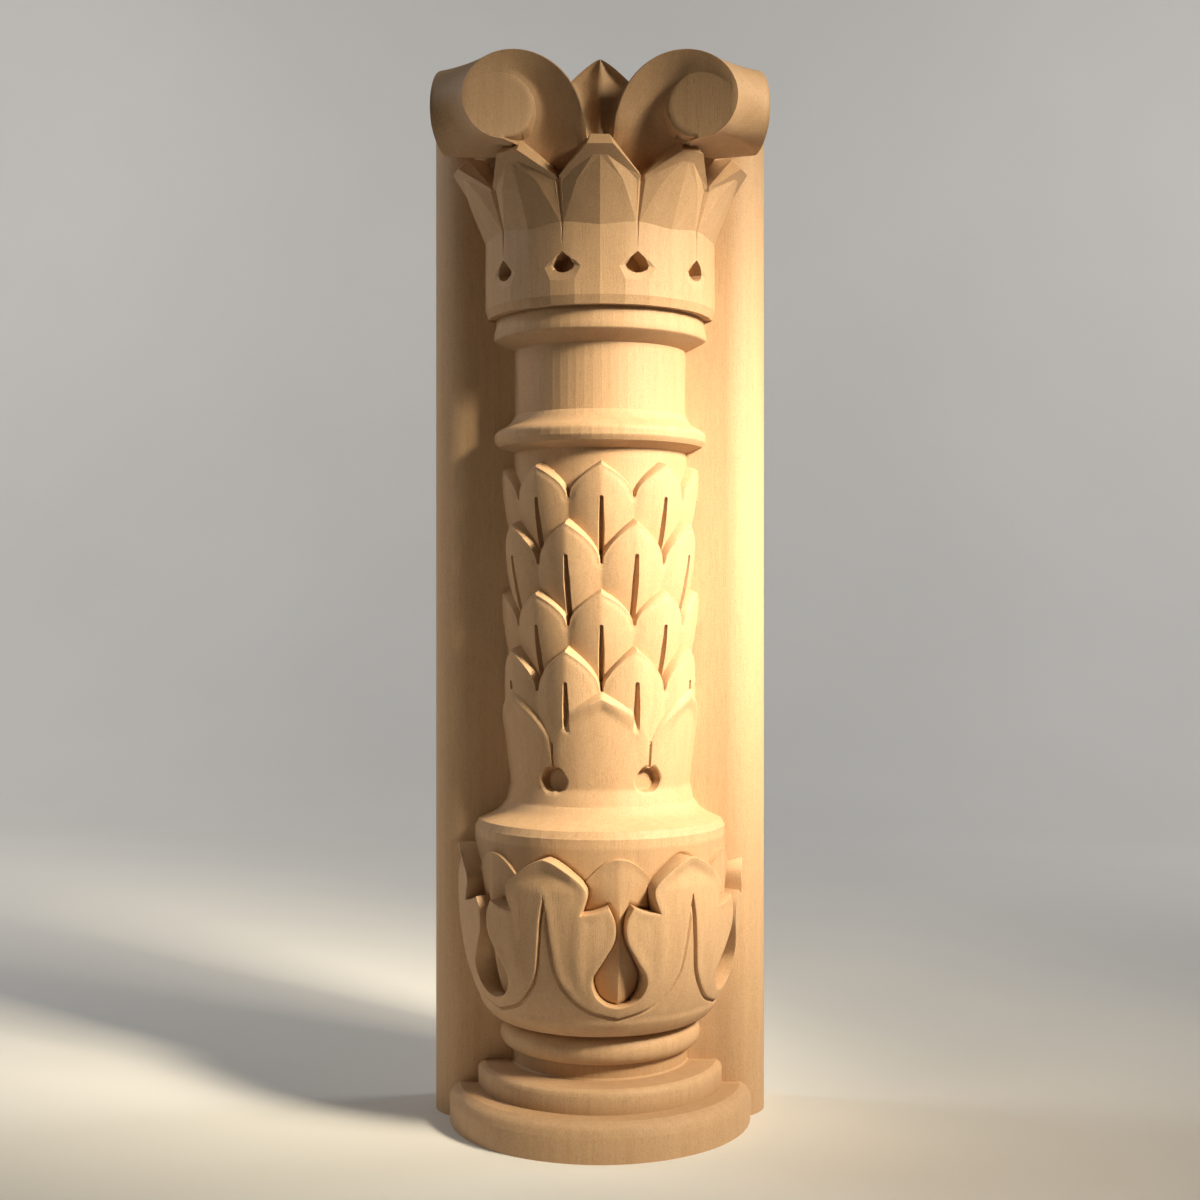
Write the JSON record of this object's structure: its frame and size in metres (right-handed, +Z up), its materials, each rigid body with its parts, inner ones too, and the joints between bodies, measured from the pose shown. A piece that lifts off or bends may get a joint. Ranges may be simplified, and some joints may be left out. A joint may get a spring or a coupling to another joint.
{
  "type": "carved colonette with leaf capital",
  "caption": "Half-round carved wooden colonette on a tall back board: corner scrolls and leaf crown above, plain neck, scale-leaf shaft, leaf-wrapped bowl and stepped round foot.",
  "frame": {"origin": "on the underside, on the axis that the round column turns about", "axes": "+Z up along the column axis, +Y into the back board and out of its flat back, -Y out of the carved front, X across the board"},
  "size_m": [0.1944, 0.1326, 0.6001],
  "materials": {
    "pale_wood": "bare, tooled and lightly sanded"
  },
  "bodies": {
    "root": {"carved_colonette": "pale_wood"}
  },
  "joints": []
}
